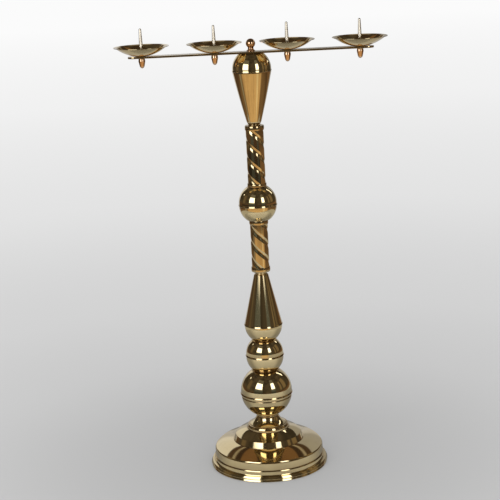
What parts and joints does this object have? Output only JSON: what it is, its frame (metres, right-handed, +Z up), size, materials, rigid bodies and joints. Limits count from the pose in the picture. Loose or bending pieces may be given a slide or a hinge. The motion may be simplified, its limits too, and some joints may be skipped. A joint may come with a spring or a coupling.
{
  "type": "pricket candlestick",
  "caption": "Tall brass floor candlestick with a weighted stepped foot, spun balls and cones, twisted tubes and a turning crossbar of drip pans with prickets.",
  "frame": {"origin": "on the floor under the middle of the base", "axes": "+Z up along the column, +X along the crossbar at rest, the pictured side towards -Y"},
  "size_m": [0.5904, 0.266, 0.9989],
  "materials": {
    "brass": "polished and lacquered",
    "red_brass": "polished, redder alloy",
    "steel": "drawn, lightly oiled",
    "iron": "as cast, painted black",
    "felt": "dense green felt"
  },
  "bodies": {
    "column": {"foot_pad": "felt", "base_weight": "iron", "base_washer": "steel", "base_nut": "steel", "base_rim": "brass", "base_drum": "brass", "base_step": "brass", "neck_ring": "brass", "neck_bell": "brass", "large_ball_lower": "brass", "large_ball_upper": "brass", "low_collar": "brass", "small_ball_lower": "brass", "small_ball_upper": "brass", "bowl_collar": "brass", "lower_bowl": "brass", "lower_cone": "brass", "cone_collar": "brass", "lower_tube_lower_cup": "brass", "lower_tube": "brass", "lower_tube_upper_cup": "brass", "middle_ball_lower": "brass", "middle_ball_upper": "brass", "upper_tube_lower_cup": "brass", "upper_tube": "brass", "upper_tube_upper_cup": "brass", "top_collar": "brass", "upper_cone": "brass", "dome": "brass", "tie_rod": "steel"},
    "bar_and_holders": {"crossbar": "brass", "pan_1": "brass", "pan_2": "brass", "pan_3": "brass", "pan_4": "brass", "pricket_1": "brass", "pricket_2": "brass", "pricket_3": "brass", "pricket_4": "brass"},
    "finial_body": {"finial": "red_brass"},
    "acorn_nut_1_body": {"acorn_nut_1": "red_brass"},
    "acorn_nut_2_body": {"acorn_nut_2": "red_brass"},
    "acorn_nut_3_body": {"acorn_nut_3": "red_brass"},
    "acorn_nut_4_body": {"acorn_nut_4": "red_brass"}
  },
  "joints": [
    {"name": "bar_swivel", "type": "hinge", "parent": "column", "child": "bar_and_holders", "pos_m": [0, 0, 0.93515], "axis": [0, 0, 1], "continuous": true},
    {"name": "finial_turn", "type": "hinge", "parent": "column", "child": "finial_body", "pos_m": [0, 0, 0.93945], "axis": [0, 0, 1], "range_deg": [0, 720]},
    {"name": "acorn_nut_1_turn", "type": "hinge", "parent": "bar_and_holders", "child": "acorn_nut_1_body", "pos_m": [-0.2352, 0, 0.93485], "axis": [0, 0, -1], "range_deg": [0, 720]},
    {"name": "acorn_nut_2_turn", "type": "hinge", "parent": "bar_and_holders", "child": "acorn_nut_2_body", "pos_m": [-0.0784, 0, 0.93485], "axis": [0, 0, -1], "range_deg": [0, 720]},
    {"name": "acorn_nut_3_turn", "type": "hinge", "parent": "bar_and_holders", "child": "acorn_nut_3_body", "pos_m": [0.0784, 0, 0.93485], "axis": [0, 0, -1], "range_deg": [0, 720]},
    {"name": "acorn_nut_4_turn", "type": "hinge", "parent": "bar_and_holders", "child": "acorn_nut_4_body", "pos_m": [0.2352, 0, 0.93485], "axis": [0, 0, -1], "range_deg": [0, 720]}
  ]
}
